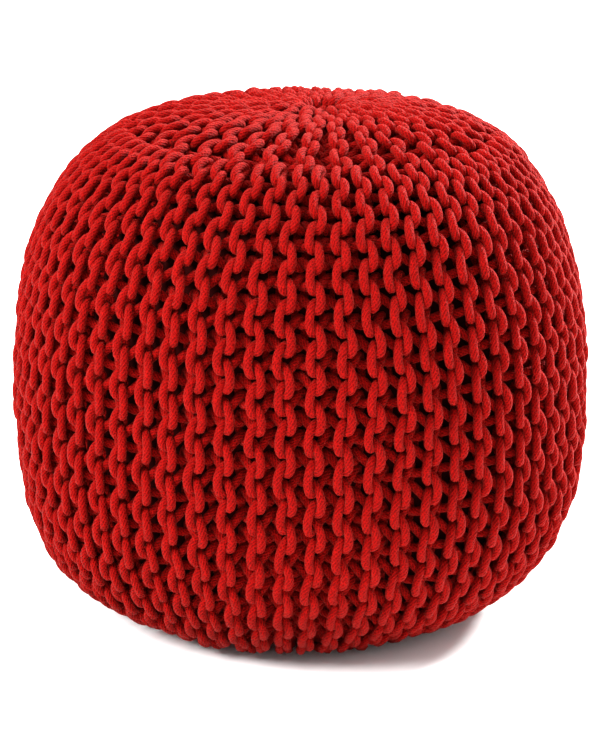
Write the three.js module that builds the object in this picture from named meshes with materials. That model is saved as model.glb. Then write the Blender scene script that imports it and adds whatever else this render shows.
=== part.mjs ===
import * as THREE from 'three';

// A round floor pouf, knitted by hand from thick soft cotton cord and filled tight.
// It is knitted sideways in garter stitch, so its ridges run from the crown down the
// side to the base like the ribs of a pumpkin. Near the crown every second ridge ends,
// and nearer still every second one of those, so that the cover draws in to a point.
// It is one filled solid. The ridges are raised in its face, and each crest leans to
// the left and to the right in turn, as the loops of the knitting do. The origin is on
// the floor under the middle, and +Z is up.

// Driving dimensions, in millimetres
const RADIUS = 225;
const HEIGHT = 397;
const WIDEST_HEIGHT = 182;
const BASE_RADIUS = 122;
const STITCH_LENGTH = 29.6;
const RIDGE_DEPTH = 6.5;
const CREST_LEAN = 2.2;
const FULL_PITCH = 18;

// The outline is two superellipse quarters: exponents across (r) and upright (z)
const SQUARENESS_ACROSS = 4;
const CROWN_SQUARENESS = 2.04;
const BELLY_SQUARENESS = 2.7;

// Knitting: ridges round the widest part, and the rows of half stitches, counted from
// the crown, where every second ridge starts and where the pattern is whole
const RIDGES = 64;
const INNER_START_ROW = 5;
const OUTER_START_ROW = 10;

const RED_COTTON = { color: 0xb8221f, roughness: 0.95, metalness: 0 };

// The side outline from the crown's middle to the base's rim, as (radius, height)
class SideOutline extends THREE.Curve {
  getPoint(t, target = new THREE.Vector2()) {
    return t < 0.5 ? this.crown(2 * t, target) : this.belly(2 * t - 1, target);
  }

  crown(t, target) {
    const angle = (Math.PI / 2) * t * t;
    const across = Math.sin(angle) ** (2 / SQUARENESS_ACROSS);
    const up = Math.cos(angle) ** (2 / CROWN_SQUARENESS);
    return target.set(RADIUS * across, WIDEST_HEIGHT + (HEIGHT - WIDEST_HEIGHT) * up);
  }

  belly(t, target) {
    const rimShare = (BASE_RADIUS / RADIUS) ** SQUARENESS_ACROSS;
    const depth = WIDEST_HEIGHT / (1 - rimShare) ** (1 / BELLY_SQUARENESS);
    const angle = Math.acos(Math.sqrt(rimShare)) * t;
    const across = Math.cos(angle) ** (2 / SQUARENESS_ACROSS);
    const down = Math.sin(angle) ** (2 / BELLY_SQUARENESS);
    return target.set(RADIUS * across, WIDEST_HEIGHT - depth * down);
  }
}

// Columns of points in a row: a crest and a groove for each ridge that is there
function columnsInRow(row) {
  if (row <= INNER_START_ROW) return RIDGES / 2;
  if (row <= OUTER_START_ROW) return RIDGES;
  return 2 * RIDGES;
}

// A ridge that has just started stands half as proud, which rounds its end
function isNewRidge(row, column) {
  const starts = row === INNER_START_ROW + 1 || row === OUTER_START_ROW + 1;
  return starts && column % 4 === 2;
}

// One point of the knitted face: crests lie on the outline, grooves behind it
function facePoint(outline, row, lastRow, column) {
  const columns = columnsInRow(row);
  const share = row / lastRow;
  const place = outline.getPointAt(share);
  const along = outline.getTangentAt(share);
  const pitch = (2 * Math.PI * place.x) / (columns / 2);
  const relief = Math.min(1, pitch / FULL_PITCH);
  const isCrest = column % 2 === 0;
  const depth = relief * RIDGE_DEPTH * (isCrest ? (isNewRidge(row, column) ? 0.5 : 0) : 1);
  const lean = isCrest ? relief * CREST_LEAN * (row % 2 === 0 ? 1 : -1) : 0;
  const isRim = row === lastRow;
  const radius = place.x - depth * (isRim ? 1 : -along.y);
  const height = isRim ? 0 : place.y - depth * along.x;
  const angle = (2 * Math.PI * column) / columns - Math.PI / 2 + lean / place.x;
  return [radius * Math.cos(angle), radius * Math.sin(angle), height];
}

// Faces between a row and the next one down, which has as many columns or twice as many
function stripFaces(upper, lower) {
  const faces = [];
  const step = lower.length / upper.length;
  upper.forEach((here, column) => {
    const next = upper[(column + 1) % upper.length];
    const below = Array.from({ length: step + 1 }, (_, i) => lower[(column * step + i) % lower.length]);
    faces.push(here, below[0], below[1], here, below[1], next);
    if (step === 2) faces.push(next, below[1], below[2]);
  });
  return faces;
}

// A flat or domed cap of faces round one middle point
function capFaces(middle, ring, facesUp) {
  return ring.flatMap((here, column) => {
    const next = ring[(column + 1) % ring.length];
    return facesUp ? [middle, here, next] : [middle, next, here];
  });
}

function knittedCover() {
  const outline = new SideOutline();
  outline.arcLengthDivisions = 1600;
  const lastRow = Math.round(outline.getLength() / (STITCH_LENGTH / 2));
  const points = [[0, 0, HEIGHT]];
  const rows = [];
  for (let row = 1; row <= lastRow; row += 1) {
    const ring = [];
    for (let column = 0; column < columnsInRow(row); column += 1) {
      ring.push(points.length);
      points.push(facePoint(outline, row, lastRow, column));
    }
    rows.push(ring);
  }
  const baseMiddle = points.length;
  points.push([0, 0, 0]);

  const faces = capFaces(0, rows[0], true);
  for (let row = 1; row < rows.length; row += 1) {
    faces.push(...stripFaces(rows[row - 1], rows[row]));
  }
  faces.push(...capFaces(baseMiddle, rows[rows.length - 1], false));

  const geometry = new THREE.BufferGeometry();
  geometry.setAttribute('position', new THREE.Float32BufferAttribute(points.flat(), 3));
  geometry.setIndex(faces);
  geometry.computeVertexNormals();
  return geometry;
}

const pouf = new THREE.Group();
const cover = new THREE.Mesh(knittedCover(), new THREE.MeshStandardMaterial(RED_COTTON));
cover.name = 'knitted_cover';
pouf.add(cover);

export default pouf;
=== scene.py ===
"""A round floor pouf, hand-knitted sideways in garter stitch from thick braided cotton cord.

The cover is made loop by loop. Every ridge is a length of cord that goes up to the crown
as a knit row, turns there, and comes back down as a purl row. The loops of the two rows
lock through each other on the outside as a chain, and through the next ridge's on the
inside. Near the crown and under the base every second ridge ends, as short rows do.
Sizes are in metres, and angles in radians.
"""

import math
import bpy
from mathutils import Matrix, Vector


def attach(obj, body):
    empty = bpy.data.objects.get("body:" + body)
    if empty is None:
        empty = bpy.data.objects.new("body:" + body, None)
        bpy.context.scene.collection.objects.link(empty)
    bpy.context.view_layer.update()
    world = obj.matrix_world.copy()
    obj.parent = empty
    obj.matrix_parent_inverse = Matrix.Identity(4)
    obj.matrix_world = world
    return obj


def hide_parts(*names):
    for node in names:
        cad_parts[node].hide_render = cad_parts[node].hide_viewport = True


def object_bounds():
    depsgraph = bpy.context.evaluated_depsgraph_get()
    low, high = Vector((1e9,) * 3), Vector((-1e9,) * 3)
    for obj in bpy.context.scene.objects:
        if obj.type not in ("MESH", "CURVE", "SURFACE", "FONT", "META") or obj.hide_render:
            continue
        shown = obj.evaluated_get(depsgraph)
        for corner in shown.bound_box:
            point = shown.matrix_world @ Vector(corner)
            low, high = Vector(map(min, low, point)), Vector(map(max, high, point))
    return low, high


bl_info = {
    "name": "Knitted rope pouf",
    "version": (1, 0, 0),
    "blender": (4, 5, 0),
    "location": "View3D > Sidebar > Pouf",
    "description": "Makes the knitted cord cover, the filling and the studio of a floor pouf",
    "category": "Object",
}

import bmesh
import bpy
import numpy as np
from mathutils import Matrix, Vector, noise
from mathutils.geometry import interpolate_bezier

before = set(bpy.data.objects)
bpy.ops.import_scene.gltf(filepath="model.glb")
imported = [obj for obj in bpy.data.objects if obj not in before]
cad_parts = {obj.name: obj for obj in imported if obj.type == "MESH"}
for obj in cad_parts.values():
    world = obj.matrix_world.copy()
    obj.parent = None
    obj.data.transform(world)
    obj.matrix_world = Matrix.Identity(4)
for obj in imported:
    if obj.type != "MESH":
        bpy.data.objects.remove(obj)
CAD_LOW, CAD_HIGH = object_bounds()
COVER_NODE = "knitted_cover"
BODY = "root"

# The photograph's frame, in pixels
PHOTO_LONG_SIDE = 733
PHOTO_WIDTH = 600

# The outline: two superellipse quarters and a flat spot under them, as in the solid, but a
# little fuller at the crown's shoulder and above the base
WIDEST_HEIGHT = 0.182
BASE_RADIUS = 0.122
SQUARENESS_ACROSS = 4.0
CROWN_SQUARENESS = 2.09
BELLY_SQUARENESS = 2.8
RIM_ROUNDING = 0.03

# How finely the outline is drawn: points on each quarter and on the flat spot, and the even
# step between them afterwards
QUARTER_POINTS = 1500
FLAT_POINTS = 300
OUTLINE_STEP = 0.001

# The path of one loop of slack cord, as sizes of its waves along (in stitches), across,
# and in and out. The purl row's loops, to the left, are a little longer.
KNIT_SWAY = (0.180, -0.016)
PURL_SWAY = (0.205, -0.016)
LOOP_ACROSS = (0.0103, -0.0002)
LOOP_DEPTH = (0.0088, 0.0003, -0.0003)

# Waves in one stitch: even ones along the ridge, odd ones across it and in and out
EVEN_WAVES = (2, 4)
ODD_WAVES = (1, 3, 5)

# How far a loop goes across and in or out from the middle of its row
REACH = sum(LOOP_ACROSS)
DEPTH = sum(LOOP_DEPTH)

# The stitches are shorter on the crown and under the base, and grow to full length between
# these distances from the middle of each
CROWN_STITCHES = (0.160, 0.210)
BASE_STITCHES = (0.090, 0.140)

# Whole stitches from the middle of the crown or of the base at which ridges end, and the
# ridges that go on past each of these turns: every 2nd, then every 4th, then every 8th
CROWN_TURNS = ((6, 2), (2, 4), (1, 8))
BASE_TURNS = ((5, 2), (2, 4), (1, 8))
LAST_TURN = 0.5

# The lanes of the ridges that end are taken up by their neighbours from this many stitches
# before the turn, over this many stitches
CLOSING_START = 0.4
CLOSING_LENGTH = 0.9

# Where the rows of a ridge start and end, in stitches on from its top and from its foot, and
# the least that is left free between its foot and its turn under the base
KNIT_START = 0.3
PURL_START = -0.2
PURL_END = 0.5
FOOT_MARGIN = 0.3

# The bend that joins the two rows at the top: its points, and how strongly it keeps on
# straight at each end, as a share of the gap
BEND_POINTS = 5
BEND_PULL = 0.4

# The crown is drawn in a little to one side, which slants the ridges up to this far out
DRAWN_ASIDE = 0.013
DRAWN_REACH = 0.26

# The gathered middles of the crown and of the base stand a little proud
MOUND_RADIUS = 0.060
MOUND_HEIGHT = 0.004

# Nearer to the middle than this, the rows draw no closer together
MIDDLE_RADIUS = 0.010

# Rows that are short of room press each other deeper: by this share if they had none left,
# and within these limits
DEPTH_FOR_WIDTH = 0.35
LEAST_PRESS = 0.8
MOST_PRESS = 1.15

# The points along a row are closer together where its cord lies outside, by up to this
# share, and no row has fewer points than this
POINTS_CROWDING = 0.4
FEWEST_POINTS = 4

# On the upright sides the outer loops sag down over the inner ones, this far for each metre
# that they lie further out
DROOP = 0.65

# The crown is pushed this far to the right and the foot as far to the left, while the
# widest part stays
LEAN = 0.0045

# How far the first ridge lies from straight in front
FIRST_RIDGE = math.radians(-2.8)

# Unevenness of the loops: its size, and its number as a noise of its own. Reach and depth
# are shares of the loop's, slide is in stitches, and lane and proud are lengths.
REACH_UNEVEN = (0.12, 1)
LANE_UNEVEN = (0.0019, 2)
DEPTH_UNEVEN = (0.12, 3)
SLIDE_UNEVEN = (0.09, 4)
PROUD_UNEVEN = (0.0016, 5)

# How much that noise changes from one stitch to the next and from one row to the next, and
# how far the places in it lie apart that the five kinds are taken from
CHANGE_BY_STITCH = 0.9
CHANGE_BY_ROW = 0.35
NOISE_APART = 7.3

# The knitting slips out of true as a whole: how wide each drift is, and how far it goes
WIDE_DRIFT = (0.085, 0.0026)
SHORT_DRIFT = (0.030, 0.0007)

# The seed of the drifts' noise, which would otherwise change from run to run
DRIFT_SEED = 2

# The filling's cloth lies just under the inner loops
FILLING_DEPTH = 0.0190
FILLING_STEPS = 96

# The braid, drawn a little coarse so that it shows: its strands round the cord each way,
# and the length of cord from one strand to the next
BRAID_STRANDS = 8
BRAID_LENGTH = 0.0033

# The strands that slant one way are crooked: how far a noise shifts them, in radians of
# their own wave, and how long its crooks are
CROOK = 15.0
CROOK_SIZE = 0.001923

# Clumps of loose fibres on the strands, and how high they are beside the braid, whose height
# is 1. Relief between these two levels goes from pit to ridge.
FIBRE_CLUMP = 0.001176
FIBRE_HEIGHT = 3.2
PIT_LEVEL = 0.9
RIDGE_LEVEL = 3.1

# Sizes of the other patterns: patches in the dye, threads of the filling's cloth, drawn
# coarse, and marks of the paint roller on the floor
DYE_PATCH = 0.0417
CLOTH_THREAD = 0.001429
ROLLER_MARK = 0.1111

# Painted shade in the hollows of the filling's cloth: how dark they are beside its threads
CLOTH_SHADE = 0.6

# The floor's half width, and what the lights aim at
FLOOR_REACH = 9.0
LIGHTS_AIM = (0, 0, 0.2)

# The lights: name, place, width and power in watts. The key light stands at the left in
# front, as in the photograph, and the rim light at the right behind the pouf.
LIGHTS = (
    ("key", (-2.4, -1.7, 2.1), 1.3, 170.0),
    ("top", (0.2, 0.4, 3.0), 1.4, 55.0),
    ("rim", (2.1, 1.5, 1.7), 0.7, 230.0),
)


class PoufKnit(bpy.types.PropertyGroup):
    """Sizes of the knitting"""

    radius: bpy.props.FloatProperty(
        name="Radius",
        description="Half the width over the cords",
        default=(CAD_HIGH.x - CAD_LOW.x) / 2,
        subtype="DISTANCE",
    )
    height: bpy.props.FloatProperty(
        name="Height",
        description="From the floor to the crown",
        default=CAD_HIGH.z - CAD_LOW.z,
        subtype="DISTANCE",
    )
    cord: bpy.props.FloatProperty(
        name="Cord",
        description="Diameter of the braided cord",
        default=0.0068,
        subtype="DISTANCE",
    )
    stitch: bpy.props.FloatProperty(
        name="Stitch",
        description="Length of one stitch along the ridge",
        default=0.0298,
        subtype="DISTANCE",
    )
    crown_stitch: bpy.props.FloatProperty(
        name="Crown stitch",
        description="Length of one stitch on the crown",
        default=0.0250,
        subtype="DISTANCE",
    )
    base_stitch: bpy.props.FloatProperty(
        name="Base stitch",
        description="Length of one stitch under the base",
        default=0.0267,
        subtype="DISTANCE",
    )
    ridges: bpy.props.IntProperty(
        name="Ridges",
        description="Ridges round the widest part",
        default=64,
    )
    gores: bpy.props.IntProperty(
        name="Gores",
        description="Pieces that the cover is kept in",
        default=8,
    )
    steps: bpy.props.IntProperty(
        name="Steps",
        description="Points along the cord in one stitch",
        default=25,
    )
    unevenness: bpy.props.FloatProperty(
        name="Unevenness",
        description="How much the hand-made loops differ",
        default=1.0,
        subtype="FACTOR",
    )


class PoufFinish(bpy.types.PropertyGroup):
    """Colours, as sRGB hex values"""

    cord_colour: bpy.props.StringProperty(
        name="Cord",
        description="Dyed cotton on the strands of the braid",
        default="#9E0D08",
    )
    # Painted shade: the darker colour given to the pits between the braid's strands
    pit_shade_colour: bpy.props.StringProperty(
        name="Pits",
        description="Dyed cotton between the strands of the braid",
        default="#650403",
    )
    faded_colour: bpy.props.StringProperty(
        name="Faded",
        description="Cord that took the dye a little less",
        default="#A4100A",
    )
    # Painted shade: the filling's cloth is given this near-black red, for the shade deep between
    # the loops
    filling_shade_colour: bpy.props.StringProperty(
        name="Filling",
        description="Cloth of the filling, deep in the knitting",
        default="#300403",
    )
    floor_colour: bpy.props.StringProperty(
        name="Floor",
        description="Pale studio floor",
        default="#FAFAFA",
    )


class PoufStudio(bpy.types.PropertyGroup):
    """Where the camera stands"""

    distance: bpy.props.FloatProperty(
        name="Distance",
        description="From the camera to the point that it looks at",
        default=2.152,
        subtype="DISTANCE",
    )
    elevation: bpy.props.FloatProperty(
        name="Elevation",
        description="Of the camera above the horizon",
        default=math.radians(16.03),
        subtype="ANGLE",
    )
    look_height: bpy.props.FloatProperty(
        name="Look height",
        description="Of the point that the camera looks at",
        default=0.188,
        subtype="DISTANCE",
    )
    focal_pixels: bpy.props.FloatProperty(
        name="Focal length",
        description="In pixels of the photograph",
        default=2739.4,
    )
    centre_pixel: bpy.props.FloatProperty(
        name="Centre",
        description="Pixel column that the pouf's middle stands on",
        default=299.4,
    )


# The outline


def superellipse_outline(knit):
    """Radii and heights from the crown's middle down the side to the base's middle."""
    t = np.linspace(0.0, 1.0, QUARTER_POINTS)
    angle = math.pi / 2 * t * t
    rise = knit.height - WIDEST_HEIGHT
    crown_r = knit.radius * np.sin(angle) ** (2 / SQUARENESS_ACROSS)
    crown_z = WIDEST_HEIGHT + rise * np.abs(np.cos(angle)) ** (2 / CROWN_SQUARENESS)
    rim = (BASE_RADIUS / knit.radius) ** SQUARENESS_ACROSS
    depth = WIDEST_HEIGHT / (1 - rim) ** (1 / BELLY_SQUARENESS)
    angle = math.acos(math.sqrt(rim)) * t[1:]
    belly_r = knit.radius * np.cos(angle) ** (2 / SQUARENESS_ACROSS)
    belly_z = WIDEST_HEIGHT - depth * np.sin(angle) ** (2 / BELLY_SQUARENESS)
    base_r = np.linspace(BASE_RADIUS, 0.0, FLAT_POINTS)[1:]
    radii = np.concatenate([crown_r, belly_r, base_r])
    heights = np.concatenate([crown_z, belly_z, np.zeros_like(base_r)])
    return radii, heights


def way_along(radii, heights):
    """The length of the outline up to each of its points."""
    return np.concatenate([[0.0], np.cumsum(np.hypot(np.diff(radii), np.diff(heights)))])


def rounded_outline(radii, heights):
    """The outline at even steps, its rim rounded by a mean over the places nearby."""
    way = way_along(radii, heights)
    even = np.arange(0.0, way[-1], OUTLINE_STEP)
    half = int(RIM_ROUNDING / OUTLINE_STEP / 2)
    weights = np.hanning(2 * half + 3)[1:-1]
    weights /= weights.sum()
    radii = np.pad(np.interp(even, way, radii), half, "reflect", reflect_type="odd")
    heights = np.pad(np.interp(even, way, heights), half, "reflect")
    return np.abs(np.convolve(radii, weights, "valid")), np.convolve(heights, weights, "valid")


def eased(share):
    """A share from 0 to 1, with a soft start and end."""
    share = np.clip(share, 0.0, 1.0)
    return share * share * (3 - 2 * share)


class Outline:
    """The side outline, its rim rounded, and the stitches counted down it."""

    def __init__(self, knit):
        self.radii, self.heights = rounded_outline(*superellipse_outline(knit))
        self.ways = way_along(self.radii, self.heights)
        self.slope_r = np.gradient(self.radii, self.ways)
        self.slope_z = np.gradient(self.heights, self.ways)
        self.counts = self.stitches_passed(knit)

    def stitches_passed(self, knit):
        """Stitches from the crown's middle up to each point of the outline."""
        length = np.full_like(self.ways, knit.stitch)
        crown = self.ways, CROWN_STITCHES, knit.crown_stitch
        base = self.ways[-1] - self.ways, BASE_STITCHES, knit.base_stitch
        for way, (start, end), shorter in (crown, base):
            length = shorter + (length - shorter) * eased((way - start) / (end - start))
        return np.concatenate([[0.0], np.cumsum(np.diff(self.ways) / length[1:])])

    def way_at(self, count):
        """The way along the outline at that many stitches from the crown's middle."""
        return np.interp(count, self.counts, self.ways)

    def at(self, way):
        """Radius, height and the outward normal (across, up) at each way."""
        size = np.hypot(self.slope_r, self.slope_z)
        return (
            np.interp(way, self.ways, self.radii),
            np.interp(way, self.ways, self.heights),
            np.interp(way, self.ways, -self.slope_z / size),
            np.interp(way, self.ways, self.slope_r / size),
        )


# The knitting


def ridge_turn(ridge, turns):
    """Stitches from the middle at which this ridge ends."""
    return next((turn for turn, every in turns if ridge % every), LAST_TURN)


def rows_round(knit, outline, counts):
    """How many rows share the way round at each count of stitches from the crown's middle."""
    rows = np.full_like(counts, 2.0 * knit.ridges)
    ends = (CROWN_TURNS, counts), (BASE_TURNS, outline.counts[-1] - counts)
    for turns, stitches in ends:
        for turn, _ in turns:
            closed = eased((turn + CLOSING_START - stitches) / CLOSING_LENGTH)
            rows = rows * (1 - closed / 2)
    return rows


def stitch_phases(first, last, steps, head_out):
    """Counts of stitches from first to last, closer together where the cord lies outside."""
    even = np.linspace(first, last, max(FEWEST_POINTS, round((last - first) * steps)))
    crowding = (POINTS_CROWDING if head_out else -POINTS_CROWDING) / (2 * math.pi)
    return even + crowding * np.sin(2 * math.pi * even)


def row_waves(knit, phase, lane):
    """A function that gives one kind of unevenness along a row, alike in rows nearby."""

    def wave(size, number):
        place = Vector((0, lane * CHANGE_BY_ROW, NOISE_APART * number))
        values = []
        for stitches in phase:
            place.x = stitches * CHANGE_BY_STITCH
            values.append(noise.noise(place))
        return size * knit.unevenness * np.array(values)

    return wave


def middle_depth(knit):
    """How deep the middle of the knitting lies under its surface."""
    return DEPTH + knit.cord / 2


def row_path(knit, outline, ridge, side, first, last):
    """The path of one row on the flat knitting: along the ridge, across it and outwards.

    first and last are stitches from the crown's middle. side is -1 for the knit row, whose
    heads lie outside, and +1 for the purl row."""
    phase = stitch_phases(first, last, knit.steps, side < 0)
    turn = 2 * math.pi * phase
    wave = row_waves(knit, phase, 2 * ridge + (side > 0))
    sizes = KNIT_SWAY if side < 0 else PURL_SWAY
    sway = sum(size * np.sin(n * turn) for size, n in zip(sizes, EVEN_WAVES))
    along = outline.way_at(phase + sway + wave(*SLIDE_UNEVEN))

    radius = outline.at(along)[0]
    rows = rows_round(knit, outline, phase)
    lane_width = 2 * math.pi * np.maximum(radius, MIDDLE_RADIUS) / rows
    full_width = math.pi * knit.radius / knit.ridges
    room = lane_width / full_width
    lock = np.minimum(1.0, room) * (2 * REACH - full_width)
    reach = (lane_width + lock) / 2 * (1 + wave(*REACH_UNEVEN))
    bow = sum(size * np.cos(n * turn) for size, n in zip(LOOP_ACROSS, ODD_WAVES)) / REACH
    across = side * lane_width / 2 - bow * reach + wave(*LANE_UNEVEN)

    press = np.clip(1 + DEPTH_FOR_WIDTH * (1 - room), LEAST_PRESS, MOST_PRESS)
    swing = sum(size * np.cos(n * turn) for size, n in zip(LOOP_DEPTH, ODD_WAVES))
    swing = swing * press * (1 + wave(*DEPTH_UNEVEN))
    out = side * swing - middle_depth(knit) + wave(*PROUD_UNEVEN)
    return along, across, out


def drawn_aside(outline, along, angle):
    """Places on the crown as they lie once its middle is drawn to the right."""
    radius = outline.at(along)[0]
    x = radius * np.cos(angle) + DRAWN_ASIDE * eased(1 - along / DRAWN_REACH)
    y = radius * np.sin(angle)
    crown = outline.ways < DRAWN_REACH
    drawn = np.interp(np.hypot(x, y), outline.radii[crown], outline.ways[crown])
    return np.where(along < DRAWN_REACH, drawn, along), np.arctan2(y, x)


def to_surface(knit, outline, ridge, along, across, out):
    """Places on the pouf for places on the flat knitting of one ridge."""
    upright = outline.at(along)[2]
    along = along + DROOP * upright * (out + middle_depth(knit))
    radius = outline.at(along)[0]
    angle = 2 * math.pi * ridge / knit.ridges - math.pi / 2 + FIRST_RIDGE
    angle = angle + across / np.maximum(radius, MIDDLE_RADIUS)
    along, angle = drawn_aside(outline, along, angle)

    radius, height, normal_r, normal_z = outline.at(along)
    out = out + MOUND_HEIGHT * eased(1 - radius / MOUND_RADIUS)
    reach = radius + out * normal_r
    points = np.stack([reach * np.cos(angle), reach * np.sin(angle), height + out * normal_z], 1)
    drift = [drift_at(Vector(point)) for point in points]
    points += np.array(drift) * knit.unevenness
    points[:, 0] += LEAN * (2 * points[:, 2] / knit.height - 1) ** 3
    points[:, 2] = np.maximum(points[:, 2], knit.cord / 2)
    return points


def drift_at(place):
    """How far the whole knitting has slipped at a place: a wide drift and a short one."""
    drift = Vector()
    for width, size in (WIDE_DRIFT, SHORT_DRIFT):
        drift += noise.noise_vector(place / width) * size
    return drift


def joining_points(before, after):
    """A smooth bend from the end of one run of points to the start of the next."""
    start, end = Vector(before[-1]), Vector(after[0])
    pull = (end - start).length * BEND_PULL
    leave = (start - Vector(before[-2])).normalized() * pull
    arrive = (Vector(after[1]) - end).normalized() * pull
    bend = interpolate_bezier(start, start + leave, end - arrive, end, BEND_POINTS)
    return np.array([tuple(point) for point in bend[1:-1]])


def ridge_path(knit, outline, ridge):
    """The cord of one ridge: up to the crown as the knit row, and down as the purl row."""
    top = ridge_turn(ridge, CROWN_TURNS)
    foot = math.floor(outline.counts[-1] - ridge_turn(ridge, BASE_TURNS) - FOOT_MARGIN)
    up = row_path(knit, outline, ridge, -1, top + KNIT_START, foot)
    down = row_path(knit, outline, ridge, 1, top + PURL_START, foot + PURL_END)
    up = to_surface(knit, outline, ridge, *up)[::-1]
    down = to_surface(knit, outline, ridge, *down)
    return np.concatenate([up, joining_points(up, down), down])


def cord_mesh(path, diameter):
    """A round cord along the path, its UV map in metres of cord in x and once round it in y."""
    curve = bpy.data.curves.new("cord", "CURVE")
    curve.dimensions = "3D"
    curve.bevel_depth = diameter / 2
    curve.bevel_resolution = 2
    curve.use_fill_caps = True
    spline = curve.splines.new("POLY")
    spline.points.add(len(path) - 1)
    spline.points.foreach_set("co", np.pad(path, ((0, 0), (0, 1)), constant_values=1).ravel())
    cord = bpy.data.objects.new("cord", curve)
    bpy.context.scene.collection.objects.link(cord)
    graph = bpy.context.evaluated_depsgraph_get()
    mesh = bpy.data.meshes.new_from_object(cord.evaluated_get(graph))
    bpy.data.objects.remove(cord)
    bpy.data.curves.remove(curve)
    lay_cord_pattern(mesh, path)
    return mesh


def lay_cord_pattern(mesh, path):
    """Turns the share of the points passed, as the curve leaves it, into metres of cord."""
    steps = np.linalg.norm(np.diff(path, axis=0), axis=1)
    passed = np.concatenate([[0.0], np.cumsum(steps)])
    data = mesh.uv_layers.active.data
    places = np.zeros(2 * len(data), np.float32)
    data.foreach_get("uv", places)
    places = places.reshape(-1, 2)
    places[:, 0] = np.interp(places[:, 0], np.linspace(0.0, 1.0, len(path)), passed)
    data.foreach_set("uv", places.ravel())


# Materials


def linear(hex_colour):
    """A linear RGBA colour from an sRGB hex value."""
    values = [int(hex_colour[i : i + 2], 16) / 255 for i in (1, 3, 5)]
    bent = [v / 12.92 if v <= 0.04045 else ((v + 0.055) / 1.055) ** 2.4 for v in values]
    return (*bent, 1.0)


def add_node(material, kind, settings=None, inputs=None, links=None):
    """Adds a node to the material, with its settings, its input values and its links."""
    node = material.node_tree.nodes.new(kind)
    for name, value in (settings or {}).items():
        setattr(node, name, value)
    for name, value in (inputs or {}).items():
        node.inputs[name].default_value = value
    for name, source in (links or {}).items():
        material.node_tree.links.new(source, node.inputs[name])
    return node


def new_material(name):
    """A node material and its Principled shader, which is already on the output."""
    material = bpy.data.materials.new(name)
    material.use_nodes = True
    return material, material.node_tree.nodes["Principled BSDF"]


def braid_relief(material, crooked):
    """The height of two sets of strands that cross, one of them crooked, from the UV map."""
    lay = add_node(material, "ShaderNodeUVMap", {"uv_map": "UVMap"})
    split = add_node(material, "ShaderNodeSeparateXYZ", links={"Vector": lay.outputs["UV"]})
    turned = {1: 2 * math.pi * BRAID_STRANDS}
    around = add_node(
        material, "ShaderNodeMath", {"operation": "MULTIPLY"}, turned, {0: split.outputs["Y"]}
    )
    crooked_around = add_node(
        material,
        "ShaderNodeMath",
        {"operation": "MULTIPLY_ADD"},
        {1: CROOK},
        {0: crooked, 2: around.outputs[0]},
    )
    strands = []
    for slant, laid in ((1, crooked_around), (-1, around)):
        phase = add_node(
            material,
            "ShaderNodeMath",
            {"operation": "MULTIPLY_ADD"},
            {1: slant * 2 * math.pi / BRAID_LENGTH},
            {0: split.outputs["X"], 2: laid.outputs[0]},
        )
        strands.append(
            add_node(
                material, "ShaderNodeMath", {"operation": "SINE"}, links={0: phase.outputs[0]}
            )
        )
    return add_node(
        material,
        "ShaderNodeMath",
        {"operation": "MAXIMUM"},
        links={0: strands[0].outputs[0], 1: strands[1].outputs[0]},
    )


def cord_relief(material, place):
    """The height of the cord's surface from pit (0) to ridge (1): its braid and its fibres."""
    # Each strand lies a little out of line, as in soft cord
    crooked = add_node(
        material,
        "ShaderNodeTexNoise",
        inputs={"Scale": 1 / CROOK_SIZE, "Detail": 1.0},
        links={"Vector": place},
    )
    braid = braid_relief(material, crooked.outputs["Fac"])
    # Loose cotton fibres break up the strands
    fibres = add_node(
        material,
        "ShaderNodeTexNoise",
        inputs={"Scale": 1 / FIBRE_CLUMP, "Detail": 3.0},
        links={"Vector": place},
    )
    relief = add_node(
        material,
        "ShaderNodeMath",
        {"operation": "MULTIPLY_ADD"},
        {1: FIBRE_HEIGHT},
        {0: fibres.outputs["Fac"], 2: braid.outputs[0]},
    )
    height = add_node(
        material,
        "ShaderNodeMapRange",
        inputs={"From Min": PIT_LEVEL, "From Max": RIDGE_LEVEL},
        links={"Value": relief.outputs[0]},
    )
    return height.outputs["Result"]


def dye_and_pit_shade(material, finish, place, height):
    """The cord's colour: painted shade, darker in the pits between the strands, and the dye a
    little uneven over the knitting.
    """
    dye = add_node(
        material,
        "ShaderNodeTexNoise",
        inputs={"Scale": 1 / DYE_PATCH, "Detail": 2.0},
        links={"Vector": place},
    )
    ridges_dyed = add_node(
        material,
        "ShaderNodeMix",
        {"data_type": "RGBA"},
        {6: linear(finish.cord_colour), 7: linear(finish.faded_colour)},
        {0: dye.outputs["Fac"]},
    )
    # Painted shade: the colour goes towards the dark pit colour where the braid's relief is low,
    # in the pits between the strands
    colour = add_node(
        material,
        "ShaderNodeMix",
        {"data_type": "RGBA"},
        {6: linear(finish.pit_shade_colour)},
        {0: height, 7: ridges_dyed.outputs[2]},
    )
    return colour.outputs[2]


def braided_cotton(finish):
    """Cotton cord, dyed and braided round: matt and soft, with fine slanting strands."""
    material, shader = new_material("dyed_braided_cotton_cord")
    place = add_node(material, "ShaderNodeTexCoord").outputs["Object"]
    height = cord_relief(material, place)
    bump = add_node(
        material,
        "ShaderNodeBump",
        inputs={"Strength": 0.8, "Distance": 0.0012},
        links={"Height": height},
    )
    colour = dye_and_pit_shade(material, finish, place, height)
    material.node_tree.links.new(colour, shader.inputs["Base Color"])
    material.node_tree.links.new(bump.outputs["Normal"], shader.inputs["Normal"])
    # Short fibres that stand off the cord catch the light at its edges
    shader.inputs["Roughness"].default_value = 0.7
    shader.inputs["Specular IOR Level"].default_value = 0.08
    shader.inputs["Sheen Weight"].default_value = 0.13
    shader.inputs["Sheen Roughness"].default_value = 0.2
    shader.inputs["Sheen Tint"].default_value = linear("#FFA08C")
    return material


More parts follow.
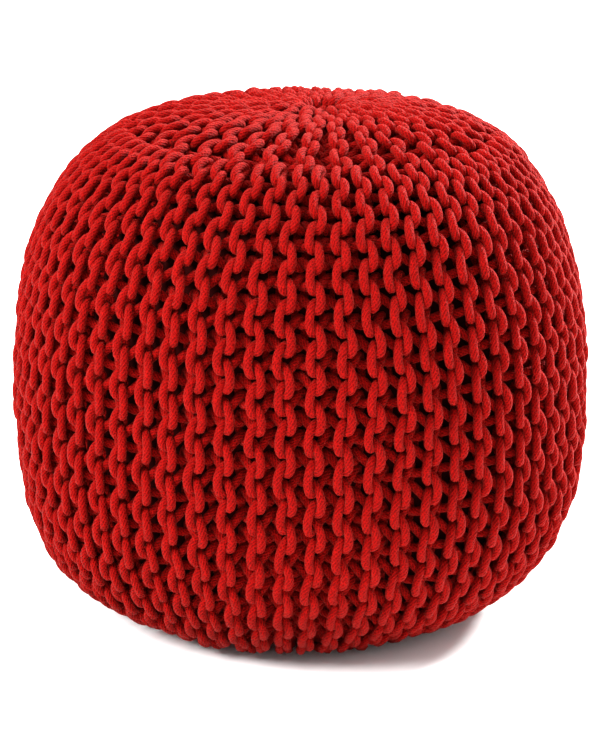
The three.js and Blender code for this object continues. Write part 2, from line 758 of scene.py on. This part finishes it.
def filling_cloth(finish):
    """Plain woven cotton round the filling, coloured a near-black red as painted shade deep in
    the knitting, with painted shade in the hollows of its weave.
    """
    material, shader = new_material("cotton_ticking_in_painted_shade")
    place = add_node(material, "ShaderNodeTexCoord").outputs["Object"]
    weave = add_node(
        material,
        "ShaderNodeTexNoise",
        inputs={"Scale": 1 / CLOTH_THREAD, "Detail": 2.0},
        links={"Vector": place},
    )
    # Painted shade: near-black red for the depth under the loops, and darker still in the
    # hollows of the weave
    dark = linear(finish.filling_shade_colour)
    colour = add_node(
        material,
        "ShaderNodeMix",
        {"data_type": "RGBA"},
        {6: dark, 7: (*[CLOTH_SHADE * value for value in dark[:3]], 1.0)},
        {0: weave.outputs["Fac"]},
    )
    bump = add_node(
        material,
        "ShaderNodeBump",
        inputs={"Strength": 0.5, "Distance": 0.0004},
        links={"Height": weave.outputs["Fac"]},
    )
    material.node_tree.links.new(colour.outputs[2], shader.inputs["Base Color"])
    material.node_tree.links.new(bump.outputs["Normal"], shader.inputs["Normal"])
    shader.inputs["Roughness"].default_value = 0.95
    shader.inputs["Specular IOR Level"].default_value = 0.1
    return material


def painted_floor(finish):
    """Matt white paint on a smooth board, a little uneven in its gloss."""
    material, shader = new_material("matt_white_floor_paint")
    place = add_node(material, "ShaderNodeTexCoord").outputs["Object"]
    roller = add_node(
        material,
        "ShaderNodeTexNoise",
        inputs={"Scale": 1 / ROLLER_MARK},
        links={"Vector": place},
    )
    rough = add_node(
        material,
        "ShaderNodeMapRange",
        inputs={"To Min": 0.8, "To Max": 0.95},
        links={"Value": roller.outputs["Fac"]},
    )
    material.node_tree.links.new(rough.outputs["Result"], shader.inputs["Roughness"])
    shader.inputs["Base Color"].default_value = linear(finish.floor_colour)
    shader.inputs["Specular IOR Level"].default_value = 0.1
    return material


# Pieces


def finished_piece(name, made, material):
    """A smooth object at the origin, linked to the scene, from a bmesh, which is freed."""
    mesh = bpy.data.meshes.new(name)
    made.to_mesh(mesh)
    made.free()
    mesh.materials.clear()
    mesh.materials.append(material)
    mesh.polygons.foreach_set("use_smooth", [True] * len(mesh.polygons))
    piece = bpy.data.objects.new(name, mesh)
    bpy.context.scene.collection.objects.link(piece)
    return piece


class POUF_OT_filling(bpy.types.Operator):
    """Makes the filled inner body that the knitted cover is drawn over"""

    bl_idname = "pouf.filling"
    bl_label = "Filling"

    def execute(self, context):
        knit = context.scene.pouf_knit
        outline = Outline(knit)
        way = np.linspace(0.0, outline.ways[-1], FILLING_STEPS)
        radius, height, normal_r, normal_z = outline.at(way)
        radius = np.clip(radius - FILLING_DEPTH * normal_r, 0.0, None)
        height = height - FILLING_DEPTH * normal_z
        radius[[0, -1]] = 0.0
        made = bmesh.new()
        corners = [made.verts.new((r, 0.0, z)) for r, z in zip(radius, height)]
        edges = [made.edges.new(pair) for pair in zip(corners, corners[1:])]
        bmesh.ops.spin(
            made,
            geom=corners + edges,
            cent=(0, 0, 0),
            axis=(0, 0, 1),
            dvec=(0, 0, 0),
            angle=2 * math.pi,
            steps=FILLING_STEPS,
            use_merge=True,
            use_duplicate=False,
        )
        bmesh.ops.remove_doubles(made, verts=made.verts, dist=1e-6)
        bmesh.ops.recalc_face_normals(made, faces=made.faces)
        piece = finished_piece("filling", made, filling_cloth(context.scene.pouf_finish))
        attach(piece, BODY)
        return {"FINISHED"}


class POUF_OT_knitted_cover(bpy.types.Operator):
    """Knits the cover, ridge by ridge, and keeps it in gores"""

    bl_idname = "pouf.knitted_cover"
    bl_label = "Knitted cover"

    def execute(self, context):
        noise.seed_set(DRIFT_SEED)
        knit = context.scene.pouf_knit
        outline = Outline(knit)
        cotton = braided_cotton(context.scene.pouf_finish)
        in_gore = knit.ridges // knit.gores
        for gore in range(knit.gores):
            made = bmesh.new()
            for ridge in range(gore * in_gore, (gore + 1) * in_gore):
                mesh = cord_mesh(ridge_path(knit, outline, ridge), knit.cord)
                made.from_mesh(mesh)
                bpy.data.meshes.remove(mesh)
            piece = finished_piece(f"knitted_gore_{gore + 1}", made, cotton)
            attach(piece, BODY)
            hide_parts(COVER_NODE)
        return {"FINISHED"}


class POUF_OT_studio(bpy.types.Operator):
    """Lays the floor, sets the lights and stands the camera where the photograph was taken"""

    bl_idname = "pouf.studio"
    bl_label = "Studio"

    def execute(self, context):
        scene = context.scene
        self.lay_floor(scene)
        for light in LIGHTS:
            self.add_light(*light)
        self.whiten_world(scene)
        # A product picture's contrast: deep gaps beside bright cord, on plain white
        scene.view_settings.view_transform = "Standard"
        scene.view_settings.look = "Medium High Contrast"
        self.stand_camera(scene)
        return {"FINISHED"}

    def lay_floor(self, scene):
        """A wide pale floor under the pouf."""
        made = bmesh.new()
        bmesh.ops.create_grid(made, x_segments=1, y_segments=1, size=FLOOR_REACH)
        floor = finished_piece("floor", made, painted_floor(scene.pouf_finish))

    def whiten_world(self, scene):
        """White all round, as in a photographer's light tent."""
        world = bpy.data.worlds.new("studio")
        world.use_nodes = True
        background = world.node_tree.nodes["Background"]
        background.inputs["Color"].default_value = (1, 1, 1, 1)
        background.inputs["Strength"].default_value = 1.0
        scene.world = world

    def add_light(self, name, place, width, power):
        """A round soft light that shines on the pouf."""
        light = bpy.data.lights.new(name, "AREA")
        light.shape = "DISK"
        light.size = width
        light.energy = power
        lamp = bpy.data.objects.new(name, light)
        aim = Vector(LIGHTS_AIM) - Vector(place)
        turn = aim.to_track_quat("-Z", "Y").to_matrix().to_4x4()
        lamp.matrix_world = Matrix.Translation(place) @ turn
        bpy.context.scene.collection.objects.link(lamp)

    def stand_camera(self, scene):
        """A long lens straight in front, a little above, with the photograph's framing."""
        studio = scene.pouf_studio
        lens = bpy.data.cameras.new("camera")
        lens.lens = studio.focal_pixels / PHOTO_LONG_SIDE * lens.sensor_width
        lens.shift_x = (PHOTO_WIDTH / 2 - studio.centre_pixel) / PHOTO_LONG_SIDE
        camera = bpy.data.objects.new("camera", lens)
        back = Vector((0, -math.cos(studio.elevation), math.sin(studio.elevation)))
        place = Vector((0, 0, studio.look_height)) + back * studio.distance
        turn = (-back).to_track_quat("-Z", "Y").to_matrix().to_4x4()
        camera.matrix_world = Matrix.Translation(place) @ turn
        scene.collection.objects.link(camera)
        scene.camera = camera


class POUF_PT_panel(bpy.types.Panel):
    """The pouf's sizes, colours and makers"""

    bl_idname = "POUF_PT_panel"
    bl_label = "Knitted rope pouf"
    bl_space_type = "VIEW_3D"
    bl_region_type = "UI"
    bl_category = "Pouf"

    def draw(self, context):
        for group_name in GROUPS:
            group = getattr(context.scene, group_name)
            box = self.layout.box()
            for name in group.__annotations__:
                box.prop(group, name)
        for maker in MAKERS:
            self.layout.operator(maker.bl_idname)


MAKERS = (POUF_OT_studio, POUF_OT_filling, POUF_OT_knitted_cover)
GROUPS = {"pouf_knit": PoufKnit, "pouf_finish": PoufFinish, "pouf_studio": PoufStudio}


def register():
    for part in (*GROUPS.values(), *MAKERS, POUF_PT_panel):
        bpy.utils.register_class(part)
    for name, group in GROUPS.items():
        setattr(bpy.types.Scene, name, bpy.props.PointerProperty(type=group))


def unregister():
    for name in GROUPS:
        delattr(bpy.types.Scene, name)
    for part in (POUF_PT_panel, *reversed(MAKERS), *reversed(GROUPS.values())):
        bpy.utils.unregister_class(part)


def main():
    register()
    bpy.ops.pouf.studio()
    bpy.ops.pouf.filling()
    bpy.ops.pouf.knitted_cover()


if __name__ == "__main__":
    main()
